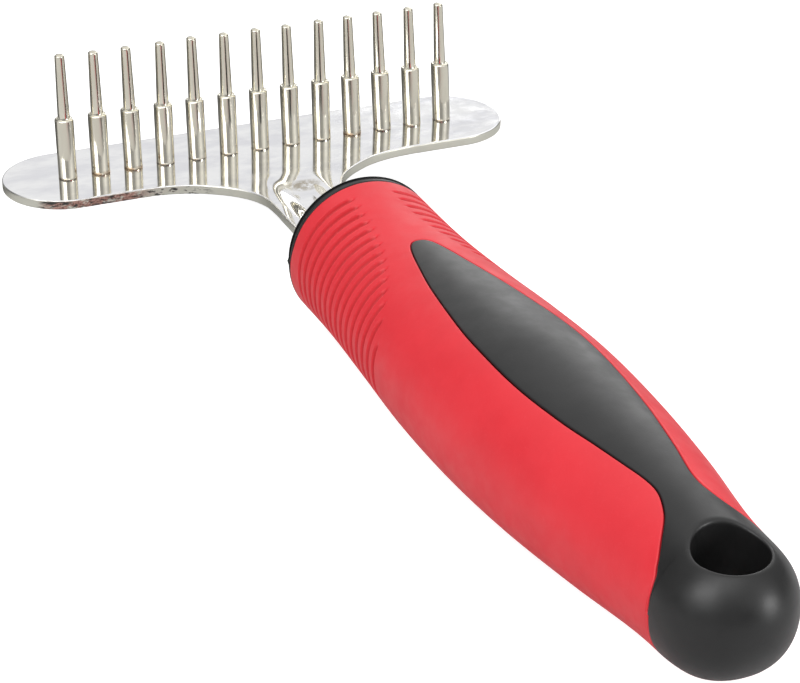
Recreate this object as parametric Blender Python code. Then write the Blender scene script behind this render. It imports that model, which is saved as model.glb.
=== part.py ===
"""Undercoat rake: a steel rake plate with thirteen free-turning stepped pins and a two-material handle.

Lengths are metres. Shapes are laid out from the middle of the pin row on the plate's top face, with
"behind" measured from the row towards the handle (-Y), and moved once to the row frame, whose origin is
the centre of the bounding box's bottom.
"""

import math

import bmesh
import bpy

MM = 0.001
GAP = 0.3 * MM  # between pieces that touch on the real object

# Rake plate, one pressing with its neck and tang
PLATE_THICK = 1.8 * MM
PLATE_HALF_WIDTH = 50.2 * MM
PLATE_HALF_DEPTH = 11.5 * MM  # the ends are full half circles
PLATE_FRONT = 12.0 * MM
# The sweep from the plate into the neck: (behind the row, half width), in mm
NECK_SWEEP = (
    (11.0, 27.0), (11.3, 22.8), (12.5, 18.7), (14.1, 15.5),
    (16.6, 12.0), (19.8, 9.2), (23.6, 7.6), (27.6, 7.2),
)
NECK_HALF_WIDTH = 7.2 * MM
TANG_START = 56.0 * MM
TANG_HALF_WIDTH = 5.4 * MM
TANG_END = 122.0 * MM
TANG_HOLES_AT = (78.0 * MM, 104.0 * MM)
TANG_HOLE_RADIUS = 3.0 * MM
CHANNEL_RADIUS = 10.0 * MM
CHANNEL_DEPTH = 0.9 * MM
CHANNEL_START = 20.0 * MM
CHANNEL_END = 54.0 * MM

# Pins
PIN_COUNT = 13
PIN_PITCH = 6.35 * MM
PIN_SIDES = 14
BARREL_RADIUS = 1.75 * MM
SHOULDER_HEIGHT = 11.7 * MM
SHANK_RADIUS = 1.13 * MM
TIP_RADIUS = 0.92 * MM
TIP_HEIGHT = 23.8 * MM
DOME_HEIGHT = 0.65 * MM
DOME_RINGS = ((1.0, 0.0), (0.75, 0.66), (0.35, 1.0))  # shares of the tip's radius and of the dome's height
CHAMFER = 0.3 * MM
TAIL_RADIUS = 1.2 * MM
PIN_HOLE_RADIUS = TAIL_RADIUS / math.cos(math.pi / PIN_SIDES) + 0.09 * MM  # a faceted tail's running fit
WASHER_RADIUS = 2.4 * MM
WASHER_THICK = 0.6 * MM
HEAD_RADIUS = 2.0 * MM
HEAD_ROUND = 0.25 * MM
HEAD_FLAT_RADIUS = 1.1 * MM
HEAD_THICK = 0.8 * MM

# Handle sections: (behind the row, half width, top, bottom), in mm
HANDLE_SECTIONS = (
    (51, 13.6, 14.0, -12.8),
    (68, 14.3, 12.7, -11.3),
    (85, 15.2, 13.2, -11.3),
    (102, 16.1, 14.5, -11.7),
    (119, 16.0, 15.8, -11.8),
    (136, 15.1, 15.6, -10.7),
    (153, 13.1, 15.0, -9.2),
    (170, 10.6, 13.7, -7.4),
    (187, 10.8, 12.8, -5.6),
)
HANDLE_START = HANDLE_SECTIONS[0][0] * MM
HANDLE_END = HANDLE_SECTIONS[-1][0] * MM
SECTION_POWER_TOP = 2.0
SECTION_POWER_BOTTOM = 2.23
NOSE_LENGTH_PLAN = 12.0 * MM
NOSE_LENGTH_SIDE = 8.1 * MM
FLANGE_THICK = 1.2 * MM
SLEEVE_WALL = 2.0 * MM
SLEEVE_END = 175.2 * MM
# Window in the sleeve for the core's top inlay: (behind the row, half width), in mm
WINDOW_EDGE = (
    (76.0, 0.0), (76.4, 1.3), (78.0, 2.3), (86.0, 4.2), (94.0, 5.7), (103.5, 7.0), (113.0, 8.0),
    (122.5, 8.3), (131.0, 8.0), (142.0, 6.8), (149.0, 5.6), (155.0, 4.5), (160.0, 3.5), (163.5, 3.3),
    (166.5, 4.1), (168.6, 5.1), (171.0, 6.8), (173.4, 8.6), (174.8, 10.4), (175.2, 14.0),
)
WINDOW_FLOOR = 3.0 * MM
HANG_HOLE_AT = 177.6 * MM
HANG_HOLE_RADIUS = 5.2 * MM

# Grip grooves on each flank of the sleeve
GROOVE_COUNT = 15
GROOVE_FIRST = 56.8 * MM
GROOVE_PITCH = 2.62 * MM
GROOVE_HALF_WIDTH = 0.65 * MM
GROOVE_DEPTH = 0.5 * MM
GROOVE_TOP_ANGLE = 105.0
GROOVE_TOP_SWEEP = 70.0
GROOVE_PATCH_LENGTH = 38.0 * MM
GROOVE_LOW_ANGLE = 202.0
GROOVE_FADE_ANGLE = 9.0

# From the layout frame to the row frame
SHIFT_Y = (HANDLE_END - PLATE_FRONT) / 2
SHIFT_Z = -min(section[3] for section in HANDLE_SECTIONS) * MM

NICKEL = ((0.78, 0.77, 0.72), 0.22, 1.0)
STEEL = ((0.62, 0.61, 0.58), 0.35, 1.0)
BLACK_PLASTIC = ((0.03, 0.03, 0.03), 0.45, 0.0)
RED_RUBBER = ((0.78, 0.05, 0.08), 0.6, 0.0)


def clear_scene():
    for obj in list(bpy.data.objects):
        bpy.data.objects.remove(obj, do_unlink=True)


def material(name, look):
    color, roughness, metallic = look
    made = bpy.data.materials.new(name)
    made.use_nodes = True
    shader = made.node_tree.nodes["Principled BSDF"]
    shader.inputs["Base Color"].default_value = (*color, 1.0)
    shader.inputs["Roughness"].default_value = roughness
    shader.inputs["Metallic"].default_value = metallic
    return made


def mesh_object(name, verts, faces, look=None, origin=(0.0, 0.0, 0.0), smooth_degrees=40):
    """An object made of layout-frame points, with its origin at a layout-frame point."""
    shift = (origin[0], origin[1] + SHIFT_Y, origin[2] + SHIFT_Z)
    mesh = bpy.data.meshes.new(name)
    mesh.from_pydata([tuple(p[i] - origin[i] for i in range(3)) for p in verts], [], faces)
    work = bmesh.new()
    work.from_mesh(mesh)
    bmesh.ops.recalc_face_normals(work, faces=work.faces)
    work.to_mesh(mesh)
    work.free()
    made = bpy.data.objects.new(name, mesh)
    made.location = shift
    bpy.context.collection.objects.link(made)
    if look:
        mesh.materials.append(material(name, look))
        mesh.shade_smooth()
        mesh.set_sharp_from_angle(angle=math.radians(smooth_degrees))
    else:
        made.hide_render = True
        made.display_type = "WIRE"
    return made


def add_boolean(obj, other, operation):
    modifier = obj.modifiers.new(operation.title() + " " + other.name, "BOOLEAN")
    modifier.object = other
    modifier.operation = operation
    modifier.solver = "EXACT"


def rings_to_solid(rings):
    """Points and faces of a closed skin over rings of equal length, with flat ends."""
    sides = len(rings[0])
    verts = [point for ring in rings for point in ring]
    faces = [list(range(sides))[::-1]]
    for row in range(len(rings) - 1):
        for side in range(sides):
            here = row * sides + side
            there = row * sides + (side + 1) % sides
            faces.append((here, there, there + sides, here + sides))
    faces.append(list(range((len(rings) - 1) * sides, len(rings) * sides)))
    return verts, faces


def circle(x, radius, z, sides=PIN_SIDES):
    """A level ring of points round the vertical through (x, 0)."""
    angles = [2 * math.pi * side / sides for side in range(sides)]
    return [(x + radius * math.cos(a), radius * math.sin(a), z) for a in angles]


def prism(outline, low, high):
    return rings_to_solid([[(x, y, low) for x, y in outline], [(x, y, high) for x, y in outline]])


def block(x_half, y_low, y_high, z_low, z_high):
    outline = [(-x_half, y_low), (x_half, y_low), (x_half, y_high), (-x_half, y_high)]
    return prism(outline, z_low, z_high)


def upright_cylinder(x, y, radius, low, high, sides=24):
    angles = [2 * math.pi * side / sides for side in range(sides)]
    return prism([(x + radius * math.cos(a), y + radius * math.sin(a)) for a in angles], low, high)


def spline(rows, column, at):
    """A smooth curve through a table's column, with the table's first column as its run."""
    last = len(rows) - 1
    index = 0
    while index < last - 1 and at > rows[index + 1][0]:
        index += 1

    def slope(i):
        before, after = max(i - 1, 0), min(i + 1, last)
        return (rows[after][column] - rows[before][column]) / (rows[after][0] - rows[before][0])

    left, right = rows[index], rows[index + 1]
    span = right[0] - left[0]
    t = (at - left[0]) / span
    return (
        (2 * t**3 - 3 * t**2 + 1) * left[column]
        + (t**3 - 2 * t**2 + t) * span * slope(index)
        + (3 * t**2 - 2 * t**3) * right[column]
        + (t**3 - t**2) * span * slope(index + 1)
    )


def mirrored(half):
    """A closed outline from the points of its +X half, listed from front to back."""
    return half + [(-x, y) for x, y in reversed(half)]


def plate_outline():
    """The plate, neck and tang in plan, as one closed outline."""
    half = []
    end_centre_x = PLATE_HALF_WIDTH - PLATE_HALF_DEPTH
    end_centre_y = PLATE_FRONT - PLATE_HALF_DEPTH
    for step in range(13):
        angle = math.pi / 2 - math.pi * step / 12
        half.append((
            end_centre_x + PLATE_HALF_DEPTH * math.cos(angle),
            end_centre_y + PLATE_HALF_DEPTH * math.sin(angle),
        ))
    half += [(width * MM, -behind * MM) for behind, width in NECK_SWEEP]
    half += [
        (NECK_HALF_WIDTH, -TANG_START),
        (TANG_HALF_WIDTH, -TANG_START - 4.0 * MM),
        (TANG_HALF_WIDTH, -TANG_END + 3.0 * MM),
        (TANG_HALF_WIDTH - 3.0 * MM, -TANG_END),
    ]
    return mirrored(half)


def channel_bar(name, centre_z, radius):
    """The rounded bar whose underside makes the channel pressed into the neck."""
    rings = []
    steps = 6
    for step in range(1, steps + 1):
        angle = math.pi / 2 * step / steps
        rings.append((-(CHANNEL_START - radius * math.cos(angle)), radius * math.sin(angle)))
    rings += [(-(CHANNEL_END + radius * math.cos(math.pi / 2 * (steps - step) / steps)),
               radius * math.sin(math.pi / 2 * (steps - step) / steps)) for step in range(steps)]
    sides = 24
    placed = []
    for y, ring_radius in rings:
        angles = [2 * math.pi * side / sides for side in range(sides)]
        ring = [(ring_radius * math.cos(a), y, centre_z + ring_radius * math.sin(a)) for a in angles]
        placed.append(ring)
    return mesh_object(name, *rings_to_solid(placed))


def channel_keel(name, grow):
    """The part of the rounded bar that hangs below the middle of the plate's thickness."""
    bar = channel_bar(name, CHANNEL_RADIUS - CHANNEL_DEPTH - PLATE_THICK, CHANNEL_RADIUS + grow)
    reach = 2 * CHANNEL_RADIUS
    above = block(reach, -CHANNEL_END - reach, -CHANNEL_START + reach, -PLATE_THICK / 2, 2 * reach)
    add_boolean(bar, mesh_object(f"{name}_above", *above), "DIFFERENCE")
    return bar


def pin_x(index):
    return (index - (PIN_COUNT - 1) / 2) * PIN_PITCH


def build_rake_plate():
    plate = mesh_object("rake_plate", *prism(plate_outline(), -PLATE_THICK, 0.0), NICKEL)
    for index in range(PIN_COUNT):
        hole = upright_cylinder(
            pin_x(index), 0.0, PIN_HOLE_RADIUS, -2 * PLATE_THICK, PLATE_THICK, PIN_SIDES
        )
        add_boolean(plate, mesh_object(f"pin_hole_{index + 1:02d}", *hole), "DIFFERENCE")
    for index, behind in enumerate(TANG_HOLES_AT):
        hole = upright_cylinder(0.0, -behind, TANG_HOLE_RADIUS, -2 * PLATE_THICK, PLATE_THICK)
        add_boolean(plate, mesh_object(f"tang_hole_{index + 1}", *hole), "DIFFERENCE")
    add_boolean(plate, channel_keel("channel_keel", 0.0), "UNION")
    hollow_centre = CHANNEL_RADIUS - CHANNEL_DEPTH
    add_boolean(plate, channel_bar("channel_hollow", hollow_centre, CHANNEL_RADIUS), "DIFFERENCE")


def pin_profile():
    """(radius, z) from the underside of the peened head to the domed tip."""
    head_top = -PLATE_THICK - GAP - WASHER_THICK - GAP
    profile = [
        (HEAD_FLAT_RADIUS, head_top - HEAD_THICK),
        (HEAD_RADIUS - HEAD_ROUND, head_top - HEAD_THICK + HEAD_ROUND),
        (HEAD_RADIUS, head_top),
        (TAIL_RADIUS, head_top),
        (TAIL_RADIUS, GAP),
        (BARREL_RADIUS - CHAMFER, GAP),
        (BARREL_RADIUS, GAP + CHAMFER),
        (BARREL_RADIUS, SHOULDER_HEIGHT - CHAMFER),
        (BARREL_RADIUS - CHAMFER, SHOULDER_HEIGHT),
        (SHANK_RADIUS, SHOULDER_HEIGHT),
    ]
    dome_base = TIP_HEIGHT - DOME_HEIGHT
    return profile + [(TIP_RADIUS * across, dome_base + DOME_HEIGHT * up) for across, up in DOME_RINGS]


def build_pins():
    for index in range(PIN_COUNT):
        x = pin_x(index)
        verts, faces = rings_to_solid([circle(x, radius, z) for radius, z in pin_profile()])
        mesh_object(f"pin_{index + 1:02d}", verts, faces, NICKEL, origin=(x, 0.0, 0.0))


def build_washers():
    top = -PLATE_THICK - GAP
    bottom = top - WASHER_THICK
    profile = (
        (PIN_HOLE_RADIUS, top),
        (WASHER_RADIUS, top),
        (WASHER_RADIUS, bottom),
        (PIN_HOLE_RADIUS, bottom),
    )
    for index in range(PIN_COUNT):
        x = pin_x(index)
        verts = [point for radius, z in profile for point in circle(x, radius, z)]
        faces = []
        for row in range(len(profile)):
            here = row * PIN_SIDES
            after = (row + 1) % len(profile) * PIN_SIDES
            for side in range(PIN_SIDES):
                beside = (side + 1) % PIN_SIDES
                faces.append((here + side, here + beside, after + beside, after + side))
        mesh_object(f"washer_{index + 1:02d}", verts, faces, STEEL, origin=(x, 0.0, 0.0))


def section(behind):
    """Half width, middle height and half height of the handle, with the end rounded over."""
    at = behind / MM
    half_width = spline(HANDLE_SECTIONS, 1, at) * MM
    top = spline(HANDLE_SECTIONS, 2, at) * MM
    bottom = spline(HANDLE_SECTIONS, 3, at) * MM
    left = HANDLE_END - behind
    plan = math.sqrt(max(0.0, 1 - max(0.0, 1 - left / NOSE_LENGTH_PLAN) ** 2))
    side = math.sqrt(max(0.0, 1 - max(0.0, 1 - left / NOSE_LENGTH_SIDE) ** 2))
    return half_width * plan, (top + bottom) / 2, (top - bottom) / 2 * side


def section_point(behind, angle, inset):
    """A point of the handle's surface; the angle runs from +X over the top, in radians."""
    half_width, middle, half_height = section(behind)
    cosine, sine = math.cos(angle), math.sin(angle)
    power = SECTION_POWER_TOP if sine > 0 else SECTION_POWER_BOTTOM
    x = math.copysign(abs(cosine) ** (2 / power), cosine)
    z = math.copysign(abs(sine) ** (2 / power), sine)
    return (max(half_width - inset, 0.0) * x, -behind, middle + max(half_height - inset, 0.0) * z)


def spread(low, high, count):
    return [low + (high - low) * index / (count - 1) for index in range(count)]


def handle_solid(stations, sides, inset_at):
    """A skin over the handle's sections; inset_at(behind, degrees) sinks it below the outer surface."""
    rings = []
    for behind in stations:
        ring = []
        for side in range(sides):
            degrees = 360 * side / sides
            ring.append(section_point(behind, math.radians(degrees), inset_at(behind, degrees)))
        rings.append(ring)
    return rings_to_solid(rings)


def nose_stations(count):
    """Stations that close in on the handle's end."""
    turns = [math.pi / 2 * step / count for step in range(1, count)]
    return [HANDLE_END - NOSE_LENGTH_PLAN * (1 - math.sin(turn)) for turn in turns]


def smooth_step(t):
    t = min(max(t, 0.0), 1.0)
    return t * t * (3 - 2 * t)


def groove_depth(behind, degrees):
    """How far the sleeve's surface is sunk by the grip grooves at a point."""
    number = round((behind - GROOVE_FIRST) / GROOVE_PITCH)
    if not 0 <= number < GROOVE_COUNT:
        return 0.0
    centre = GROOVE_FIRST + number * GROOVE_PITCH
    across = 1 - abs(behind - centre) / GROOVE_HALF_WIDTH
    if across <= 0:
        return 0.0
    flank = degrees if 90 < degrees < 270 else (180 - degrees) % 360
    run = (centre - GROOVE_FIRST) / GROOVE_PATCH_LENGTH
    top = GROOVE_TOP_ANGLE + GROOVE_TOP_SWEEP * (1 - math.sqrt(1 - run * run))
    along = smooth_step((flank - top) / GROOVE_FADE_ANGLE + 0.5)
    along *= smooth_step((GROOVE_LOW_ANGLE - flank) / GROOVE_FADE_ANGLE + 0.5)
    return GROOVE_DEPTH * across * along


def sleeve_stations():
    stations = [HANDLE_START]
    for number in range(GROOVE_COUNT):
        centre = GROOVE_FIRST + number * GROOVE_PITCH
        stations += [centre - GROOVE_HALF_WIDTH, centre, centre + GROOVE_HALF_WIDTH]
    return stations + spread(stations[-1] + 5 * MM, SLEEVE_END + 2 * MM, 15)


def window_outline(grow):
    """The sleeve's window in plan, grown outwards all round."""
    half = []
    for index, (behind, width) in enumerate(WINDOW_EDGE):
        before = WINDOW_EDGE[max(index - 1, 0)]
        after = WINDOW_EDGE[min(index + 1, len(WINDOW_EDGE) - 1)]
        run, rise = after[0] - before[0], after[1] - before[1]
        if index == 0:
            run, rise = 0.0, 1.0
        length = math.hypot(run, rise)
        half.append((width * MM + grow * run / length, -behind * MM + grow * rise / length))
    half[0] = (0.0, half[0][1])
    half.append((30 * MM, half[-1][1]))
    half.append((30 * MM, -HANDLE_END - 5 * MM))
    closed = half + [(-x, y) for x, y in reversed(half[1:])]
    return closed


def build_handle():
    reach = 40 * MM
    inner_stations = spread(HANDLE_START - 4 * MM, SLEEVE_END + 3 * MM, 16)
    core_stations = [HANDLE_START] + spread(HANDLE_START + FLANGE_THICK, HANDLE_END - NOSE_LENGTH_PLAN, 24)
    core_stations += nose_stations(8) + [HANDLE_END - 0.02 * MM]

    sleeve = mesh_object(
        "grip_sleeve", *handle_solid(sleeve_stations(), 40, groove_depth), RED_RUBBER, smooth_degrees=60
    )
    sleeve_front = HANDLE_START + FLANGE_THICK + GAP
    zone = block(reach, -SLEEVE_END, -sleeve_front, -reach, reach)
    add_boolean(sleeve, mesh_object("sleeve_zone", *zone), "INTERSECT")
    bore = handle_solid(inner_stations, 32, lambda behind, degrees: SLEEVE_WALL)
    add_boolean(sleeve, mesh_object("sleeve_bore", *bore), "DIFFERENCE")
    window = prism(window_outline(0.0), WINDOW_FLOOR, reach)
    add_boolean(sleeve, mesh_object("sleeve_window", *window), "DIFFERENCE")

    whole = handle_solid(core_stations, 40, lambda behind, degrees: 0.0)
    core = mesh_object("handle_core", *whole, BLACK_PLASTIC, smooth_degrees=50)
    pocket_block = block(reach, -SLEEVE_END - GAP, -sleeve_front + GAP, -reach, reach)
    pocket = mesh_object("sleeve_pocket", *pocket_block)
    spine = handle_solid(inner_stations, 32, lambda behind, degrees: SLEEVE_WALL + GAP)
    add_boolean(pocket, mesh_object("pocket_spine", *spine), "DIFFERENCE")
    island = prism(window_outline(-GAP), WINDOW_FLOOR + GAP, reach + 5 * MM)
    add_boolean(pocket, mesh_object("pocket_island", *island), "DIFFERENCE")
    add_boolean(core, pocket, "DIFFERENCE")

    slot_half = [
        (NECK_HALF_WIDTH + GAP, -HANDLE_START + 5 * MM),
        (NECK_HALF_WIDTH + GAP, -TANG_START - GAP),
        (TANG_HALF_WIDTH + GAP, -TANG_START - 4.0 * MM - GAP),
        (TANG_HALF_WIDTH + GAP, -TANG_END + 3.0 * MM - GAP),
        (TANG_HALF_WIDTH + GAP - 3.0 * MM, -TANG_END - GAP),
    ]
    slot = mesh_object("tang_slot", *prism(mirrored(slot_half), -PLATE_THICK - GAP, GAP))
    add_boolean(slot, channel_keel("channel_room", GAP), "UNION")
    for index, behind in enumerate(TANG_HOLES_AT):
        peg = upright_cylinder(0.0, -behind, TANG_HOLE_RADIUS - GAP, -2 * PLATE_THICK, PLATE_THICK)
        add_boolean(slot, mesh_object(f"core_peg_{index + 1}", *peg), "DIFFERENCE")
    add_boolean(core, slot, "DIFFERENCE")
    hole = upright_cylinder(0.0, -HANG_HOLE_AT, HANG_HOLE_RADIUS, -reach, reach, 28)
    add_boolean(core, mesh_object("hanging_hole", *hole), "DIFFERENCE")


clear_scene()
build_rake_plate()
build_pins()
build_washers()
build_handle()
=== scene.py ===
import math

import bmesh
import bpy
from mathutils import Matrix, Vector, noise
from mathutils.geometry import delaunay_2d_cdt


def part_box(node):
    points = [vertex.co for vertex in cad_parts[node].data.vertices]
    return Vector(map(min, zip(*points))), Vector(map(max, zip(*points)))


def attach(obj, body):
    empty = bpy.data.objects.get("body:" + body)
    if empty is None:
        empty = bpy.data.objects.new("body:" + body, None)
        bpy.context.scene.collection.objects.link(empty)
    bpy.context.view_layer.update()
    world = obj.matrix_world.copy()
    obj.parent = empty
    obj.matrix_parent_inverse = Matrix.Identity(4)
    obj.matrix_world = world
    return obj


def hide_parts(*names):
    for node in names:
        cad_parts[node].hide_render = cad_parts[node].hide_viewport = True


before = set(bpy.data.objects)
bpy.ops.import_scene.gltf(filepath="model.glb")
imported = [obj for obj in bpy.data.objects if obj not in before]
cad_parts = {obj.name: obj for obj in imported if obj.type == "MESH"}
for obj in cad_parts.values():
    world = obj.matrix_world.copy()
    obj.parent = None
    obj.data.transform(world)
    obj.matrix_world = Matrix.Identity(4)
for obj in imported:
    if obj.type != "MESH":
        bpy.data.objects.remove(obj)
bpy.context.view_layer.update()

MM = 0.001

# Layout frame: the pin row's middle on the plate's top face, with "behind" measured towards the handle (-Y)
PLATE_THICK = 1.8 * MM
TIP_HEIGHT = 23.8 * MM  # the pins' height above the plate
PIN_NODES = [f"pin_{number:02d}" for number in range(1, 14)]
WASHER_NODES = [f"washer_{number:02d}" for number in range(1, 14)]
ROW_Y = sum(corner.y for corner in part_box("pin_01")) / 2
TOP_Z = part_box("pin_01")[1].z - TIP_HEIGHT
PIN_X = [sum(corner.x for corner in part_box(node)) / 2 for node in PIN_NODES]

# Rake plate
PLATE_HALF_WIDTH = 50.2 * MM
PLATE_HALF_DEPTH = 11.5 * MM
PLATE_FRONT = 12.0 * MM
CURVE_GAP = 0.5 * MM  # from a straight stretch's last point to the end arc's first
SWEEP_GAP = 0.7 * MM  # the same at both ends of the stretch behind the row, in front of the sweep
SWEEP_STEPS = 8  # points to each row of the sweep's table
# The sweep from the plate into the neck: (behind the row, half width), in mm
NECK_SWEEP = (
    (11.0, 29.0), (11.0, 27.0), (11.4, 22.8), (12.5, 18.7), (14.1, 15.5), (16.6, 12.0), (19.8, 9.2),
    (23.6, 7.6), (27.6, 7.2), (31.6, 7.2),
)
NECK_HALF_WIDTH = 7.2 * MM
TANG_START = 56.0 * MM
TANG_HALF_WIDTH = 5.4 * MM
TANG_END = 122.0 * MM
TANG_TAPER = 4.0 * MM
TANG_CORNER = 3.0 * MM
TANG_HOLES_AT = (78.0 * MM, 104.0 * MM)
TANG_HOLE_RADIUS = 3.0 * MM
RIM_ROUND = 0.28 * MM
RIM_STEPS = 4
RIM_SIDE_LEVELS = (0.65 * MM, 0.95 * MM, 1.2 * MM)  # rows down the plate's side, for the ragged stretch
HOLE_CHAMFER = 0.1 * MM
FLAT_BAND = 0.12 * MM  # beside each rounded edge, so that the flat faces shade as flat
PIN_HOLE_RADIUS = 1.32 * MM
PIN_HOLE_SIDES = 24
TANG_HOLE_SIDES = 32
# The channel pressed into the neck, with the places it spans given as distances behind the row
CHANNEL_DEPTH = 0.7 * MM
CHANNEL_HALF_WIDTH = 5.6 * MM
CHANNEL_BED = 1.8 * MM  # half the width of its flat bed
CHANNEL_RAMP = (14.0 * MM, 24.0 * MM)
CHANNEL_FADE = (52.5 * MM, 58.5 * MM)
# The finely meshed patch of the plate's faces that holds the channel
CHANNEL_GRID_SPAN = (12.4 * MM, 66.0 * MM)
CHANNEL_GRID_ROWS = 90
CHANNEL_GRID_COLUMNS = 23
CHANNEL_GRID_MARGIN = 0.8 * MM
# The stretch of the near edge that corrosion has made ragged
CORRODED_X = (-45.0 * MM, -19.0 * MM)
CORRODED_EASE = (3 * MM, 4 * MM)
CORRODED_BEHIND = 7.5 * MM
CORRODED_DEPTH_EASE = 2 * MM
RAGGED_GRAIN = 0.45 * MM
RAGGED_REACH = 0.07 * MM

# Pins
BARREL_RADIUS = 1.75 * MM
SHOULDER_HEIGHT = 11.7 * MM
SHANK_RADIUS = 1.13 * MM
TIP_RADIUS = 0.92 * MM
SHANK_FILLET = 0.14 * MM
TIP_CORNER = 0.4 * MM  # the rounding round the tip's edge
TIP_CROWN = 0.12 * MM  # how far the tip's middle stands above that rounding
PIN_SIDES = 48
SHOULDER_CHAMFER = 0.28 * MM
FOOT_CHAMFER = 0.06 * MM
FOOT_GAP = 0.02 * MM
TAIL_RADIUS = 1.2 * MM
CONTACT = 0.05 * MM  # the gap left between pieces that touch
WASHER_RADIUS = 2.4 * MM
WASHER_THICK = 0.8 * MM
WASHER_BEVEL = 0.1 * MM
WASHER_SIDES = 40
HEAD_RADIUS = 2.0 * MM
HEAD_THICK = 1.05 * MM
HEAD_RIM = 0.15 * MM  # the straight band round the peened head
HEAD_BEVEL = 0.12 * MM
# How far each pin's tip stands to the side of its foot, in mm
PIN_LEANS = (-0.12, -0.18, -0.33, -0.10, -0.35, -0.33, -0.39, -0.59, -0.41, -0.82, -1.06, -0.96, -1.00)
# How much each pin stands taller than the lowest, in mm
PIN_EXTRAS = (0.35, 0.1, 0.1, 0.1, 0.25, 0.1, 0.1, 0.0, 0.1, 0.1, 0.1, 0.1, 0.2)
RUSTY_PINS = (2, 3, 10)

# Handle sections: (behind the row, half width, top, bottom), in mm
HANDLE_SECTIONS = (
    (51, 13.6, 14.0, -12.8),
    (68, 14.3, 12.7, -11.3),
    (85, 15.2, 13.2, -11.3),
    (102, 16.1, 14.5, -11.7),
    (119, 16.0, 15.8, -11.8),
    (136, 15.1, 15.6, -10.7),
    (153, 13.1, 15.0, -9.2),
    (170, 10.6, 13.7, -7.4),
    (187, 10.8, 12.8, -5.6),
)
HANDLE_START = HANDLE_SECTIONS[0][0] * MM
HANDLE_END = HANDLE_SECTIONS[-1][0] * MM
SECTION_POWER_TOP = 2.0
SECTION_POWER_BOTTOM = 2.23
NOSE_LENGTH_PLAN = 12.0 * MM
NOSE_LENGTH_SIDE = 8.1 * MM
# The sleeve's front edge runs close to the flange's face below the parting line and stands back above it
FLANGE_LENGTHS = (0.55 * MM, 1.95 * MM)
FLANGE_RISE = (-14.0, 18.0)  # degrees above the parting line between the two
PARTING_FLASH = 0.22 * MM
FLANGE_SIDES = 144
FLANGE_FRONT_ROUND = 0.35 * MM
FLANGE_REAR_ROUND = 0.15 * MM
SLEEVE_WALL = 1.9 * MM
SLEEVE_COLUMNS = 180
SPINE_INSET = 2.0 * MM  # from the handle's surface down to the core's spine under the sleeve
SPINE_END = 178.5 * MM
SLEEVE_END = 175.2 * MM
SEAM = 0.1 * MM  # between the sleeve and the core
LIP_ROUND = 0.22 * MM
LIP_STEPS = 5
INLAY_DEPTH = 3.2 * MM
CORE_COLUMNS = 72
TANG_ROOM = 0.06 * MM  # between the tang and the core
SLEEVE_FRONT = HANDLE_START + FLANGE_LENGTHS[1] + SEAM + LIP_ROUND
# Window in the sleeve for the core's inlay: (behind the row, half width), in mm
WINDOW_EDGE = (
    (76.0, 0.0), (76.4, 1.3), (78.0, 2.3), (86.0, 4.2), (94.0, 5.7), (103.5, 7.0), (113.0, 8.0), (122.5, 8.3),
    (131.0, 8.0), (142.0, 6.8), (149.0, 5.6), (155.0, 4.5), (160.0, 3.5), (163.5, 3.3), (166.5, 4.1),
    (168.6, 5.1), (171.0, 6.8), (173.4, 8.6), (174.8, 10.4), (175.2, 14.0),
)
WINDOW_POINTS = 260
MOUTH_START = 166 * MM  # where the window starts to open out over the handle's end
HANG_HOLE_AT = 177.6 * MM
HANG_HOLE_RADIUS = 5.2 * MM
HANG_HOLE_ROUND = 0.8 * MM
HANG_HOLE_STEPS = 7
HANG_HOLE_SIDES = 96
REACH = 40 * MM  # well past the handle's top and bottom

# Grip grooves on each flank of the sleeve
GROOVE_COUNT = 15
GROOVE_FIRST = 57.1 * MM
GROOVE_PITCH = 2.66 * MM
GROOVE_HALF_WIDTH = 0.68 * MM
GROOVE_DEPTH = 0.8 * MM
GROOVE_TOP_ANGLE = 107.0
GROOVE_TOP_SWEEP = 70.0
GROOVE_PATCH_LENGTH = 38.0 * MM
GROOVE_LOW_ANGLE = 202.0
GROOVE_FADE_ANGLE = 7.0

# Camera, from the photo's perspective
CAMERA_AT = Vector((-0.141346, -0.310676, 0.188570))
CAMERA_AZIMUTH = 0.420097
CAMERA_DOWN = 0.493479
CAMERA_ROLL = 0.010531
CAMERA_LENS = 106.24
CAMERA_SENSOR = 36.0
CAMERA_SHIFT = (-0.03886, 0.0488)
CAMERA_CLIP = (0.01, 20.0)


# ---------------------------------------------------------------- mesh helpers


def smooth_step(t):
    t = min(max(t, 0.0), 1.0)
    return t * t * (3 - 2 * t)


def spread(low, high, count):
    return [low + (high - low) * index / (count - 1) for index in range(count)]


def spline(rows, column, at):
    """A smooth curve through a table's column, with the table's first column as its run."""
    last = len(rows) - 1
    index = 0
    while index < last - 1 and at > rows[index + 1][0]:
        index += 1

    def slope(i):
        before, after = max(i - 1, 0), min(i + 1, last)
        return (rows[after][column] - rows[before][column]) / (rows[after][0] - rows[before][0])

    left, right = rows[index], rows[index + 1]
    span = right[0] - left[0]
    t = (at - left[0]) / span
    return (
        (2 * t**3 - 3 * t**2 + 1) * left[column]
        + (t**3 - 2 * t**2 + t) * span * slope(index)
        + (3 * t**2 - 2 * t**3) * right[column]
        + (t**3 - t**2) * span * slope(index + 1)
    )


def new_object(name, verts, faces, origin=(0.0, 0.0, 0.0), smooth_degrees=None):
    """An object made of layout-frame points, with its origin at a layout-frame point."""
    mesh = bpy.data.meshes.new(name)
    mesh.from_pydata([tuple(p[i] - origin[i] for i in range(3)) for p in verts], [], faces)
    work = bmesh.new()
    work.from_mesh(mesh)
    bmesh.ops.recalc_face_normals(work, faces=work.faces)
    work.to_mesh(mesh)
    work.free()
    made = bpy.data.objects.new(name, mesh)
    made.location = (origin[0], origin[1] + ROW_Y, origin[2] + TOP_Z)
    bpy.context.scene.collection.objects.link(made)
    if smooth_degrees is not None:
        shade(made, smooth_degrees)
    return made


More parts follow.
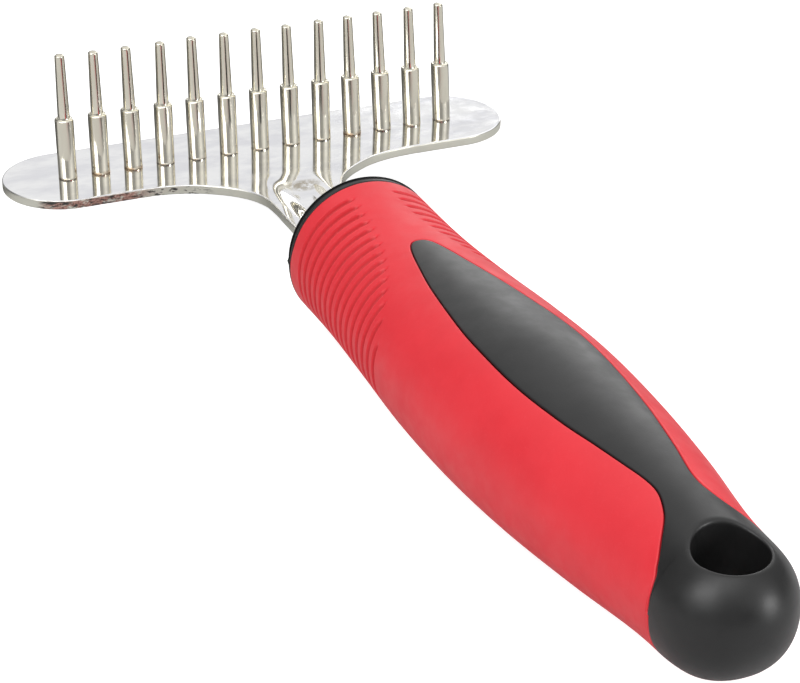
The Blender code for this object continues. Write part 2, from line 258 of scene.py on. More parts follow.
def shade(obj, degrees):
    obj.data.shade_smooth()
    obj.data.set_sharp_from_angle(angle=math.radians(degrees))


def apply_boolean(obj, other, operation):
    """Joins or cuts with a Boolean, then drops the other object."""
    modifier = obj.modifiers.new(operation.title(), "BOOLEAN")
    modifier.object = other
    modifier.operation = operation
    modifier.solver = "MANIFOLD"
    bpy.context.view_layer.update()
    evaluated = obj.evaluated_get(bpy.context.evaluated_depsgraph_get())
    mesh = bpy.data.meshes.new_from_object(evaluated)
    obj.modifiers.clear()
    obj.data = mesh
    bpy.data.objects.remove(other, do_unlink=True)


def ring_faces(first, second, count):
    """Faces between two closed rings of points that start at these indices."""
    faces = []
    for side in range(count):
        after = (side + 1) % count
        faces.append((first + side, first + after, second + after, second + side))
    return faces


def rings_to_solid(rings):
    """Points and faces of a closed skin over rings of equal length, with flat ends."""
    sides = len(rings[0])
    verts = [point for ring in rings for point in ring]
    faces = [tuple(reversed(range(sides)))]
    for row in range(len(rings) - 1):
        faces += ring_faces(row * sides, (row + 1) * sides, sides)
    faces.append(tuple(range((len(rings) - 1) * sides, len(rings) * sides)))
    return verts, faces


def circle(centre, radius, z, sides):
    """A level ring of points."""
    angles = [2 * math.pi * side / sides for side in range(sides)]
    return [(centre[0] + radius * math.cos(a), centre[1] + radius * math.sin(a), z) for a in angles]


def strip_faces(first, second):
    """Faces between two closed lists of point indices of equal length."""
    faces = []
    for index, (here, beyond) in enumerate(zip(first, second)):
        after = (index + 1) % len(first)
        faces.append((here, first[after], second[after], beyond))
    return faces


def add_rings(verts, faces, border, rings):
    """Adds rings of points on from a border, with faces between them, and returns the last ring's indices."""
    before = border
    for ring in rings:
        here = list(range(len(verts), len(verts) + len(ring)))
        verts += ring
        faces += strip_faces(before, here)
        before = here
    return before


def grid_face(grid, row, column):
    """The face between two rows and two columns of a grid of point indices."""
    return grid[row, column], grid[row, column + 1], grid[row + 1, column + 1], grid[row + 1, column]


def without_repeats(face):
    """A face's corners with neighbouring repeats dropped, or None where fewer than three are left."""
    kept = [corner for index, corner in enumerate(face) if corner != face[index - 1]]
    return tuple(kept) if len(kept) > 2 else None


def finish_piece(obj, look, body, nodes):
    """Gives a piece its material and its body, and hides the CAD nodes that it stands for."""
    obj.data.materials.clear()
    obj.data.materials.append(look)
    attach(obj, body)
    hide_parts(*nodes)


# ---------------------------------------------------------------- rake plate


def plate_outline():
    """The plate, neck and tang in plan, as one closed outline from the front's middle towards +X."""
    centre_x = PLATE_HALF_WIDTH - PLATE_HALF_DEPTH
    centre_y = PLATE_FRONT - PLATE_HALF_DEPTH
    half = [(x, PLATE_FRONT) for x in spread(CURVE_GAP, centre_x - CURVE_GAP, 36)]
    for angle in spread(math.pi / 2, -math.pi / 2, 73):
        x = centre_x + PLATE_HALF_DEPTH * math.cos(angle)
        y = centre_y + PLATE_HALF_DEPTH * math.sin(angle)
        half.append((x, y))
    first_behind, first_width = NECK_SWEEP[0]
    back_edge = spread(centre_x - SWEEP_GAP, first_width * MM + SWEEP_GAP, 14)
    half += [(x, -first_behind * MM) for x in back_edge]
    half += sweep_points()
    half += [(NECK_HALF_WIDTH, -behind) for behind in spread(33.0 * MM, TANG_START, 24)]
    tang_shoulder = TANG_START + TANG_TAPER
    half += [(TANG_HALF_WIDTH, -behind) for behind in spread(tang_shoulder, TANG_END - TANG_CORNER, 20)]
    half.append((TANG_HALF_WIDTH - TANG_CORNER, -TANG_END))
    return half + [(-x, y) for x, y in reversed(half)]


def sweep_points():
    """The plate's sweep into the neck, as a smooth curve through the table's points."""
    table = [(index, behind, width) for index, (behind, width) in enumerate(NECK_SWEEP)]
    last = len(table) - 1
    points = []
    for at in spread(0, last, SWEEP_STEPS * last + 1):
        points.append((spline(table, 2, at) * MM, -spline(table, 1, at) * MM))
    return points


def outward(outline):
    """The outward direction at each point of a closed outline that runs clockwise from above."""
    made = []
    for index in range(len(outline)):
        before = outline[index - 1]
        after = outline[(index + 1) % len(outline)]
        run = Vector((after[0] - before[0], after[1] - before[1])).normalized()
        made.append(Vector((-run.y, run.x)))
    return made


def sheet_height(x, y):
    """The height of the sheet's top face at a point, which sinks in the pressed channel."""
    across = smooth_step((CHANNEL_HALF_WIDTH - abs(x)) / (CHANNEL_HALF_WIDTH - CHANNEL_BED))
    ramp = smooth_step((-y - CHANNEL_RAMP[0]) / (CHANNEL_RAMP[1] - CHANNEL_RAMP[0]))
    fade = smooth_step((CHANNEL_FADE[1] + y) / (CHANNEL_FADE[1] - CHANNEL_FADE[0]))
    return -CHANNEL_DEPTH * across * ramp * fade


def corroded(x, y):
    """From 0 to 1: how far the near edge's plating has gone."""
    first, last = CORRODED_X
    ease_in, ease_out = CORRODED_EASE
    along = smooth_step((x - first) / ease_in) * smooth_step((last - x) / ease_out)
    return along * smooth_step((-y - CORRODED_BEHIND) / CORRODED_DEPTH_EASE)


def ragged(x, y, z):
    """A small sideways wander of the corroded edge."""
    place = Vector((x, y, z)) / RAGGED_GRAIN
    return RAGGED_REACH * corroded(x, y) * noise.fractal(place, 0.6, 2.0, 3)


def inside_outline(x, y, margin):
    """Whether a point of the neck or tang is this far from its sides."""
    width = NECK_HALF_WIDTH if -y < TANG_START - margin else TANG_HALF_WIDTH
    return abs(x) < width - margin and -y < TANG_END - TANG_CORNER


def plate_face(outline, outs, holes):
    """The plate's flat face in plan, with the channel's patch meshed finely.

    Returns its points, its triangles and the hole rings as lists of point indices.
    """
    points = [Vector(p) - out * (RIM_ROUND + FLAT_BAND) for p, out in zip(outline, outs)]
    loops = [list(range(len(points)))]
    for centre, radius, sides in holes:
        ring = [Vector(p[:2]) for p in circle(centre, radius + HOLE_CHAMFER + FLAT_BAND, 0.0, sides)]
        loops.append(list(range(len(points), len(points) + sides)))
        points += ring
    nearest, farthest = CHANNEL_GRID_SPAN
    for y in spread(-nearest, -farthest, CHANNEL_GRID_ROWS):
        for x in spread(-CHANNEL_HALF_WIDTH, CHANNEL_HALF_WIDTH, CHANNEL_GRID_COLUMNS):
            if inside_outline(x, y, CHANNEL_GRID_MARGIN):
                points.append(Vector((x, y)))
    edges = []
    for loop in loops:
        edges += [(loop[i - 1], loop[i]) for i in range(len(loop))]
    placed, _, triangles, *_ = delaunay_2d_cdt(points, edges, [], 1, 1e-9)
    # A triangle inside a hole has all its corners on that hole's ring
    hole_at = {i: number for number, loop in enumerate(loops[1:], start=1) for i in loop}
    kept = []
    for triangle in triangles:
        on_holes = {hole_at.get(i, 0) for i in triangle}
        if len(on_holes) > 1 or 0 in on_holes:
            kept.append(tuple(triangle))
    return placed, kept, loops[1:]


def rim_levels():
    """(inset, z) of the rings down the plate's rounded side."""
    profile = [(1 - math.sin(a), 1 - math.cos(a)) for a in spread(0.0, math.pi / 2, RIM_STEPS + 1)[1:]]
    levels = [(RIM_ROUND, 0.0)] + [(inset * RIM_ROUND, -drop * RIM_ROUND) for inset, drop in profile]
    levels += [(0.0, -z) for z in RIM_SIDE_LEVELS]
    return levels + [(inset, -PLATE_THICK - z) for inset, z in reversed(levels[:RIM_STEPS + 1])]


def build_plate(look):
    outline = plate_outline()
    outs = outward(outline)
    holes = [(Vector((x, 0.0)), PIN_HOLE_RADIUS, PIN_HOLE_SIDES) for x in PIN_X]
    holes += [(Vector((0.0, -behind)), TANG_HOLE_RADIUS, TANG_HOLE_SIDES) for behind in TANG_HOLES_AT]
    placed, triangles, hole_loops = plate_face(outline, outs, holes)

    count = len(placed)
    verts = [(p.x, p.y, sheet_height(p.x, p.y)) for p in placed]
    verts += [(x, y, z - PLATE_THICK) for x, y, z in verts]
    faces = triangles + [tuple(count + i for i in reversed(face)) for face in triangles]

    rim = len(outline)
    rings = []
    for inset, z in rim_levels():
        rings.append(len(verts))
        for p, out in zip(outline, outs):
            shift = out * (ragged(p[0], p[1], z) - inset)
            verts.append((p[0] + shift.x, p[1] + shift.y, z))
    for first, second in zip([0] + rings, rings + [count]):
        faces += ring_faces(first, second, rim)

    for loop, (centre, radius, sides) in zip(hole_loops, holes):
        rings = [loop[0]]
        bored = (
            (radius + HOLE_CHAMFER, 0.0),
            (radius, -HOLE_CHAMFER),
            (radius, HOLE_CHAMFER - PLATE_THICK),
            (radius + HOLE_CHAMFER, -PLATE_THICK),
        )
        for bore, z in bored:
            rings.append(len(verts))
            verts += circle(centre, bore, z, sides)
        rings.append(count + loop[0])
        for first, second in zip(rings, rings[1:]):
            faces += ring_faces(first, second, sides)
    plate = new_object("rake_plate_pressing", verts, faces, smooth_degrees=50)
    finish_piece(plate, look, "rake", ["rake_plate"])


# ---------------------------------------------------------------- pins and washers


def arc_profile(centre, size, start, end, steps):
    """Points (radius, z) along an elliptical arc; size is (across, up), and the angles are in degrees."""
    made = []
    for degrees in spread(start, end, steps):
        angle = math.radians(degrees)
        made.append((centre[0] + size[0] * math.cos(angle), centre[1] + size[1] * math.sin(angle)))
    return made


def pin_profile(tip):
    """(radius, z) from the underside of the peened head to the rounded tip, which stands this high."""
    head_top = -PLATE_THICK - CONTACT - WASHER_THICK - CONTACT
    profile = arc_profile((0.0, head_top - HEAD_RIM), (HEAD_RADIUS, HEAD_THICK - HEAD_RIM), -84, 0, 9)
    profile += [
        (HEAD_RADIUS - HEAD_BEVEL, head_top),
        (TAIL_RADIUS, head_top),
        (TAIL_RADIUS, -0.2 * MM),
        (TAIL_RADIUS, FOOT_GAP),
        (BARREL_RADIUS - FOOT_CHAMFER, FOOT_GAP),
        (BARREL_RADIUS - 0.4 * FOOT_CHAMFER, FOOT_GAP + 0.3 * FOOT_CHAMFER),
        (BARREL_RADIUS, FOOT_GAP + FOOT_CHAMFER),
    ]
    barrel_top = SHOULDER_HEIGHT - SHOULDER_CHAMFER
    profile += [(BARREL_RADIUS, z) for z in spread(0.5 * MM, barrel_top, 9)]
    profile += [
        (BARREL_RADIUS - 0.35 * SHOULDER_CHAMFER, SHOULDER_HEIGHT - 0.45 * SHOULDER_CHAMFER),
        (BARREL_RADIUS - SHOULDER_CHAMFER, SHOULDER_HEIGHT),
        (SHANK_RADIUS + SHANK_FILLET, SHOULDER_HEIGHT - 0.03 * MM),
        (SHANK_RADIUS + 0.04 * MM, SHOULDER_HEIGHT + 0.04 * MM),
    ]
    shank_top = tip - TIP_CROWN - TIP_CORNER
    for z in spread(SHOULDER_HEIGHT + 0.15 * MM, shank_top, 9):
        share = (z - SHOULDER_HEIGHT) / (shank_top - SHOULDER_HEIGHT)
        profile.append((SHANK_RADIUS + (TIP_RADIUS - SHANK_RADIUS) * share, z))
    flat = TIP_RADIUS - TIP_CORNER
    profile += arc_profile((flat, shank_top), (TIP_CORNER, TIP_CORNER), 12, 78, 7)
    for share in (0.85, 0.6, 0.3, 0.06):
        profile.append((flat * share, tip - TIP_CROWN * share * share))
    return profile


def build_pins(clean_look, rusty_look):
    for number, (x, lean, extra) in enumerate(zip(PIN_X, PIN_LEANS, PIN_EXTRAS), start=1):
        node = f"pin_{number:02d}"
        rings = []
        for radius, z in pin_profile(TIP_HEIGHT + extra * MM):
            centre = (x + lean * MM * max(0.0, z) / TIP_HEIGHT, 0.0)
            rings.append(circle(centre, radius, z, PIN_SIDES))
        verts, faces = rings_to_solid(rings)
        pin = new_object(f"{node}_turned", verts, faces, origin=(x, 0.0, 0.0), smooth_degrees=32)
        look = rusty_look if number in RUSTY_PINS else clean_look
        finish_piece(pin, look, node, [node])


def build_washers(look):
    top = -PLATE_THICK - CONTACT
    bottom = top - WASHER_THICK
    profile = (
        (PIN_HOLE_RADIUS, top - WASHER_BEVEL),
        (PIN_HOLE_RADIUS + WASHER_BEVEL, top),
        (WASHER_RADIUS - WASHER_BEVEL, top),
        (WASHER_RADIUS, top - WASHER_BEVEL),
        (WASHER_RADIUS, bottom + WASHER_BEVEL),
        (WASHER_RADIUS - WASHER_BEVEL, bottom),
        (PIN_HOLE_RADIUS + WASHER_BEVEL, bottom),
        (PIN_HOLE_RADIUS, bottom + WASHER_BEVEL),
    )
    for node, x in zip(WASHER_NODES, PIN_X):
        verts = [point for radius, z in profile for point in circle((x, 0.0), radius, z, WASHER_SIDES)]
        faces = []
        for row in range(len(profile)):
            after = (row + 1) % len(profile)
            faces += ring_faces(row * WASHER_SIDES, after * WASHER_SIDES, WASHER_SIDES)
        washer = new_object(f"{node}_ring", verts, faces, origin=(x, 0.0, 0.0), smooth_degrees=30)
        finish_piece(washer, look, "rake", [node])


# ---------------------------------------------------------------- handle


def section(behind):
    """Half width, middle height and half height of the handle, with the end rounded over."""
    at = behind / MM
    half_width = spline(HANDLE_SECTIONS, 1, at) * MM
    top = spline(HANDLE_SECTIONS, 2, at) * MM
    bottom = spline(HANDLE_SECTIONS, 3, at) * MM
    left = HANDLE_END - behind
    plan = math.sqrt(max(0.0, 1 - max(0.0, 1 - left / NOSE_LENGTH_PLAN) ** 2))
    side = math.sqrt(max(0.0, 1 - max(0.0, 1 - left / NOSE_LENGTH_SIDE) ** 2))
    return half_width * plan, (top + bottom) / 2, (top - bottom) / 2 * side


def section_point(behind, degrees, inset=0.0):
    """A point of the handle's surface; the angle runs from +X over the top."""
    half_width, middle, half_height = section(behind)
    angle = math.radians(degrees)
    cosine, sine = math.cos(angle), math.sin(angle)
    power = SECTION_POWER_TOP if sine > 0 else SECTION_POWER_BOTTOM
    x = math.copysign(abs(cosine) ** (2 / power), cosine)
    z = math.copysign(abs(sine) ** (2 / power), sine)
    return Vector((
        max(half_width - inset, 0.0) * x,
        -behind,
        middle + max(half_height - inset, 0.0) * z,
    ))


def section_normal(behind, degrees):
    """The handle's outward direction at a surface point."""
    step, turn = 0.02 * MM, 0.3
    along = section_point(behind + step, degrees) - section_point(behind - step, degrees)
    around = section_point(behind, degrees + turn) - section_point(behind, degrees - turn)
    normal = around.cross(along).normalized()
    middle = Vector((0.0, -behind, section(behind)[1]))
    return normal if normal.dot(section_point(behind, degrees) - middle) > 0 else -normal


def flange_end(degrees):
    """Where the flange ends and the sleeve begins, at an angle round the handle."""
    above = math.degrees(math.asin(math.sin(math.radians(degrees))))
    share = smooth_step((above - FLANGE_RISE[0]) / (FLANGE_RISE[1] - FLANGE_RISE[0]))
    return HANDLE_START + FLANGE_LENGTHS[0] + (FLANGE_LENGTHS[1] - FLANGE_LENGTHS[0]) * share


def window_curve(grow):
    """The window's edge as (behind, half width), grown outwards by this much."""
    table = [(behind, width * width) for behind, width in WINDOW_EDGE]
    first, last = table[0][0], table[-1][0]
    curve = []
    for turn in spread(0.0, math.pi, WINDOW_POINTS):
        behind = first + (last - first) * (1 - math.cos(turn)) / 2
        curve.append((behind * MM, math.sqrt(max(0.0, spline(table, 1, behind))) * MM))
    curve[0] = (first * MM, 0.0)
    grown = []
    for index, here in enumerate(curve):
        before, after = curve[max(index - 1, 0)], curve[min(index + 1, len(curve) - 1)]
        run = Vector((after[0] - before[0], after[1] - before[1])).normalized()
        if index == 0:
            run = Vector((0.0, 1.0))
        grown.append((here[0] - run.y * grow, max(0.0, here[1] + run.x * grow)))
    return grown


def half_opening(curve, behind):
    """How many degrees each side of the top the window reaches at a station."""
    if behind <= curve[0][0]:
        return 0.0
    width = curve[-1][1]
    for near, far in zip(curve, curve[1:]):
        if near[0] <= behind < far[0]:
            share = (behind - near[0]) / (far[0] - near[0])
            width = math.sqrt(near[1] ** 2 + (far[1] ** 2 - near[1] ** 2) * share)
            break
    return math.degrees(math.asin(min(1.0, width / section(behind)[0])))


def tip_stations(first):
    """Stations that open out slowly from the window's pointed end."""
    return [first + offset * MM for offset in (0.0, 0.04, 0.14, 0.3, 0.5, 0.75, 1.05, 1.4, 1.8)]


def mouth_stations(rear):
    """Stations over the window's wide end, where its edge turns sharply."""
    return spread(166.6 * MM, 173.0 * MM, 14) + spread(173.2 * MM, rear, 16)


def rolled_edge(border, side):
    """Rings that carry a skin's closed border over a rounded edge and straight down.

    border holds (point, normal, depth); side is 1 where the skin lies to the border's left from outside.
    """
    outs = []
    for index, (point, normal, _) in enumerate(border):
        run = border[(index + 1) % len(border)][0] - border[index - 1][0]
        outs.append((run.cross(normal) * side).normalized())
    rings = []
    for angle in spread(0.0, math.pi / 2, LIP_STEPS)[1:]:
        across = LIP_ROUND * math.sin(angle)
        down = LIP_ROUND * (1 - math.cos(angle))
        rings.append([point + out * across - normal * down for (point, normal, _), out in zip(border, outs)])
    wall = [point + out * LIP_ROUND - normal * depth for (point, normal, depth), out in zip(border, outs)]
    return rings + [wall]


def groove_depth(behind, degrees):
    """How far the sleeve's surface is sunk by the grip grooves at a point."""
    number = round((behind - GROOVE_FIRST) / GROOVE_PITCH)
    if not 0 <= number < GROOVE_COUNT:
        return 0.0
    centre = GROOVE_FIRST + number * GROOVE_PITCH
    flank = degrees if 90 < degrees < 270 else (180 - degrees) % 360
    run = (centre - GROOVE_FIRST) / GROOVE_PATCH_LENGTH
    top = GROOVE_TOP_ANGLE + GROOVE_TOP_SWEEP * (1 - math.sqrt(1 - run * run))
    along = smooth_step((flank - top) / GROOVE_FADE_ANGLE + 0.5)
    along *= smooth_step((GROOVE_LOW_ANGLE - flank) / (2 * GROOVE_FADE_ANGLE) + 0.5)
    half_width = GROOVE_HALF_WIDTH * (0.3 + 0.7 * along)
    across = max(0.0, 1 - ((behind - centre) / half_width) ** 2)
    return GROOVE_DEPTH * across * along


def sleeve_stations(tip):
    """The rings of the sleeve's skin: alike on every groove, and close together at the window's two ends."""
    half = GROOVE_HALF_WIDTH
    offsets = [half * share for share in (0.0, 0.3, 0.58, 0.82, 1.0, 1.22)] + [0.4 * GROOVE_PITCH]
    offsets = [-offset for offset in offsets[:0:-1]] + offsets
    first = GROOVE_FIRST - GROOVE_PITCH / 2
    stations = spread(SLEEVE_FRONT, first, 7)
    for number in range(GROOVE_COUNT):
        stations += [GROOVE_FIRST + number * GROOVE_PITCH + offset for offset in offsets]
    groove_end = stations[-1]
    stations = [d for d in stations if not tip - 0.1 * MM < d < tip + 1.9 * MM]
    stations += tip_stations(tip)
    stations += spread(groove_end + 0.6 * MM, MOUTH_START, 80)
    stations += mouth_stations(SLEEVE_END - LIP_ROUND)
    return sorted(stations)


def sleeve_place(station, degrees):
    """Moves a ring's point near the front towards the flange, whose length is uneven."""
    rear = GROOVE_FIRST - GROOVE_HALF_WIDTH
    share = smooth_step((rear - station) / (rear - SLEEVE_FRONT))
    return station - (HANDLE_START + FLANGE_LENGTHS[1] - flange_end(degrees)) * share


def build_sleeve(look):
    curve = window_curve(LIP_ROUND)
    tip = curve[0][0]
    stations = sleeve_stations(tip)
    tip_row = stations.index(tip)

    verts, grid, place, sinks = [], {}, {}, []
    for row, station in enumerate(stations):
        opening = half_opening(curve, station)
        for column in range(SLEEVE_COLUMNS + 1):
            if column == SLEEVE_COLUMNS and row <= tip_row:
                grid[row, column] = grid[row, 0]
                continue
            degrees = 90 - opening - (360 - 2 * opening) * column / SLEEVE_COLUMNS
            behind = sleeve_place(station, degrees)
            grid[row, column] = len(verts)
            place[len(verts)] = (behind, degrees)
            depth = groove_depth(behind, degrees % 360)
            sinks.append(depth / GROOVE_DEPTH)
            verts.append(section_point(behind, degrees) - section_normal(behind, degrees) * depth)
    last = len(stations) - 1
    skin = [grid_face(grid, row, column) for row in range(last) for column in range(SLEEVE_COLUMNS)]

    count = len(verts)
    front = [grid[0, column] for column in range(SLEEVE_COLUMNS)]
    window = [grid[row, 0] for row in range(tip_row, last)]
    window += [grid[last, column] for column in range(SLEEVE_COLUMNS + 1)]
    window += [grid[row, SLEEVE_COLUMNS] for row in range(last - 1, tip_row, -1)]
    verts += [section_point(*place[i], inset=SLEEVE_WALL) for i in range(count)]
    faces = skin + [tuple(count + i for i in reversed(face)) for face in skin]
    for border, side in ((front, -1), (window, 1)):
        rim = [(verts[i], section_normal(*place[i]), SLEEVE_WALL) for i in border]
        rings = rolled_edge(rim, side)
        for i, point in zip(border, rings[-1]):
            verts[count + i] = point
        innermost = add_rings(verts, faces, border, rings[:-1])
        faces += strip_faces(innermost, [count + i for i in border])
    sleeve = new_object("grip_sleeve_moulding", verts, faces, smooth_degrees=45)
    # How far down each point lies in a groove, kept for the rubber's painted shade in the grooves
    groove_shade = sleeve.data.attributes.new("groove_shade", "FLOAT", "POINT")
    for index, share in enumerate(sinks):
        groove_shade.data[index].value = share
    finish_piece(sleeve, look, "rake", ["grip_sleeve"])


def inlay_stations(tip, rear):
    """Stations along the inlay, from its tip to the sleeve's end."""
    return tip_stations(tip) + spread(tip + 2.5 * MM, MOUTH_START, 96) + mouth_stations(rear)


def bulb_stations(rear):
    """Stations that close in on the handle's end."""
    stations = spread(rear + 0.4 * MM, HANDLE_END - NOSE_LENGTH_SIDE, 8)
    turns = spread(0.0, 1.0, 26)[1:-1]
    stations += [HANDLE_END - NOSE_LENGTH_SIDE * (1 - math.sin(math.pi / 2 * t)) for t in turns]
    return stations + [HANDLE_END - 0.01 * MM]


def island_and_bulb():
    """The core's inlay and end bulb as one closed solid, whose underside lies inside the spine."""
    columns = CORE_COLUMNS
    curve = window_curve(-SEAM - LIP_ROUND)
    rear = SLEEVE_END + SEAM + LIP_ROUND
    stations = inlay_stations(curve[0][0], rear)
    rear_row = len(stations) - 1
    stations += bulb_stations(rear)
    last = len(stations) - 1

    verts, place, top, low = [], {}, {}, {}

    def add(behind, degrees):
        place[len(verts)] = (behind, degrees)
        verts.append(section_point(behind, degrees))
        return len(verts) - 1

    for row, behind in enumerate(stations):
        opening = 90.0 if row >= rear_row else half_opening(curve, behind)
        for column in range(columns + 1):
            if row == 0 and column > 0:
                top[row, column] = top[row, 0]
            else:
                top[row, column] = add(behind, 90 - opening + 2 * opening * column / columns)
        if row < rear_row:
            continue
        low[row, 0] = top[row, 0]
        low[row, columns] = top[row, columns]
        for column in range(1, columns):
            low[row, column] = add(behind, -180 * column / columns)

    faces = []
    for row in range(last):
        faces += [grid_face(top, row, column) for column in range(columns)]
        if row >= rear_row:
            faces += [grid_face(low, row, column) for column in range(columns)]
    faces = [face for face in map(without_repeats, faces) if face]
    end_ring = [top[last, column] for column in range(columns + 1)]
    end_ring += [low[last, column] for column in range(columns - 1, 0, -1)]
    faces.append(tuple(end_ring))

    border = [top[row, 0] for row in range(rear_row)]
    border += [low[rear_row, column] for column in range(columns + 1)]
    border += [top[row, columns] for row in range(rear_row - 1, 0, -1)]
    rim = [(verts[i], section_normal(*place[i]), INLAY_DEPTH) for i in border]
    under = dict(zip(border, add_rings(verts, faces, border, rolled_edge(rim, -1))))

    def under_at(row, column):
        index = top[row, column]
        if index not in under:
            behind, degrees = place[index]
            under[index] = len(verts)
            verts.append(section_point(min(behind, rear - LIP_ROUND), degrees, inset=INLAY_DEPTH))
        return under[index]

    below = []
    for row in range(rear_row):
        for column in range(columns):
            below.append((
                under_at(row, column), under_at(row + 1, column),
                under_at(row + 1, column + 1), under_at(row, column + 1),
            ))
    faces += [face for face in map(without_repeats, below) if face]
    cap = [under_at(rear_row, column) for column in range(columns + 1)]
    cap += [under[low[rear_row, column]] for column in range(columns - 1, 0, -1)]
    faces.append(tuple(cap))
    return new_object("core_moulding", verts, faces)


def spine():
    """The core under the sleeve, as a closed solid over the handle's sections."""
    sides = 96
    rings = []
    for behind in spread(HANDLE_START + 0.3 * MM, SPINE_END, 60):
        rings.append([section_point(behind, 360 * side / sides, SPINE_INSET) for side in range(sides)])
    return new_object("spine", *rings_to_solid(rings))


def flange():
    """The ring that closes the handle's front, with a trace of the mould's parting line."""
    angles = [360 * side / FLANGE_SIDES for side in range(FLANGE_SIDES)]
    flash = [-PARTING_FLASH if angle in (0.0, 180.0) else 0.0 for angle in angles]
    rings = []
    # These rings run forwards, so the skin turns back at the handle's start and leaves a thin lip there
    for turn in spread(0.0, math.pi / 2, 6):
        behind = HANDLE_START + FLANGE_FRONT_ROUND * (1 - math.sin(turn))
        inset = FLANGE_FRONT_ROUND * (1 - math.cos(turn))
        rings.append([section_point(behind, angle, inset + out) for angle, out in zip(angles, flash)])
    for turn in spread(0.0, math.pi / 2, 5):
        back = FLANGE_REAR_ROUND * (1 - math.sin(turn))
        inset = FLANGE_REAR_ROUND * (1 - math.cos(turn))
        ring = []
        for angle, out in zip(angles, flash):
            ring.append(section_point(flange_end(angle) - back, angle, inset + out * math.cos(turn)))
        rings.append(ring)
    return new_object("flange", *rings_to_solid(rings))


def tang_slot():
    """The room in the core for the plate's neck, channel and tang, less the two moulded pegs."""
    neck_span = spread(HANDLE_START, TANG_START - 0.5 * MM, 8)
    stations = [(HANDLE_START - 4 * MM, NECK_HALF_WIDTH)]
    stations += [(behind, NECK_HALF_WIDTH) for behind in neck_span]
    stations += [
        (TANG_START, NECK_HALF_WIDTH),
        (TANG_START + TANG_TAPER, TANG_HALF_WIDTH),
        (TANG_END - TANG_CORNER, TANG_HALF_WIDTH),
        (TANG_END, TANG_HALF_WIDTH - TANG_CORNER),
    ]
    rings = []
    for behind, half_width in stations:
        wide = half_width + TANG_ROOM
        across = spread(-wide, wide, 25)
        over = [(x, -behind, sheet_height(x, -behind) + TANG_ROOM) for x in across]
        under = [(x, y, z - PLATE_THICK - 2 * TANG_ROOM) for x, y, z in reversed(over)]
        rings.append(over + under)
    slot = new_object("tang_slot", *rings_to_solid(rings))
    radius = TANG_HOLE_RADIUS - TANG_ROOM
    for behind in TANG_HOLES_AT:
        rings = [circle((0.0, -behind), radius, z, TANG_HOLE_SIDES) for z in (-4 * MM, 4 * MM)]
        apply_boolean(slot, new_object("peg", *rings_to_solid(rings)), "DIFFERENCE")
    return slot


def surface_height(x, y, sign):
    """The height of the handle's top (1) or bottom (-1) surface over a point in plan."""
    half_width, middle, half_height = section(-y)
    power = SECTION_POWER_TOP if sign > 0 else SECTION_POWER_BOTTOM
    across = min(1.0, abs(x) / half_width)
    return middle + sign * half_height * (1 - across**power) ** (1 / power)


def open_hanging_hole(core):
    """Cuts the hanging hole and rounds its two rims into the surface."""
    wide = HANG_HOLE_RADIUS + HANG_HOLE_ROUND
    centre = (0.0, -HANG_HOLE_AT)
    rings = [circle(centre, wide, z, HANG_HOLE_SIDES) for z in (-REACH, REACH)]
    apply_boolean(core, new_object("hole_cutter", *rings_to_solid(rings)), "DIFFERENCE")

    work = bmesh.new()
    work.from_mesh(core.data)
    axis = Vector(centre)

    def on_wall(face):
        level = abs(face.normal.z) < 0.02
        return level and all(abs((vert.co.xy - axis).length - wide) < 0.012 * MM for vert in face.verts)

    walls = [face for face in work.faces if on_wall(face)]
    bmesh.ops.delete(work, geom=walls, context="FACES")
    open_edges = [edge for edge in work.edges if edge.is_boundary]
    middle = section(HANG_HOLE_AT)[1]
    last_rings = []
    for sign in (1, -1):
        rim = {vert for edge in open_edges for vert in edge.verts if (vert.co.z - middle) * sign > 0}
        rim = sorted(rim, key=lambda vert: math.atan2(vert.co.y - axis.y, vert.co.x))
        before = rim
        for step in range(1, HANG_HOLE_STEPS + 1):
            left = 1 - step / HANG_HOLE_STEPS
            ring = [work.verts.new(hole_rim_point(vert.co, axis, wide, sign, left)) for vert in rim]
            for index in range(len(ring)):
                after = (index + 1) % len(ring)
                work.faces.new((before[index], before[after], ring[after], ring[index]))
            before = ring
        last_rings += [work.edges.get((before[i - 1], before[i])) for i in range(len(before))]
    bmesh.ops.bridge_loops(work, edges=last_rings)
    bmesh.ops.recalc_face_normals(work, faces=work.faces)
    work.to_mesh(core.data)
    work.free()


def hole_rim_point(outer, axis, wide, sign, left):
    """A point of the hole's rounded rim; left runs from 1 at the handle's surface to 0 in the bore."""
    radial = (outer.xy - axis).normalized()
    step = 0.1 * MM
    below, above = (axis + radial * (wide + shift) for shift in (-step, step))
    slope = (surface_height(*above, sign) - surface_height(*below, sign)) / (2 * step)
    corner_z = outer.z - HANG_HOLE_ROUND * slope
    end_z = corner_z - sign * HANG_HOLE_ROUND
    radius = left**2 * wide + (1 - left**2) * HANG_HOLE_RADIUS
    z = left**2 * outer.z + 2 * (1 - left) * left * corner_z + (1 - left) ** 2 * end_z
    return radial.x * radius, axis.y + radial.y * radius, z


def build_core(look):
    core = island_and_bulb()
    apply_boolean(core, spine(), "UNION")
    apply_boolean(core, flange(), "UNION")
    apply_boolean(core, tang_slot(), "DIFFERENCE")
    open_hanging_hole(core)
    shade(core, 40)
    finish_piece(core, look, "rake", ["handle_core"])


# ---------------------------------------------------------------- materials


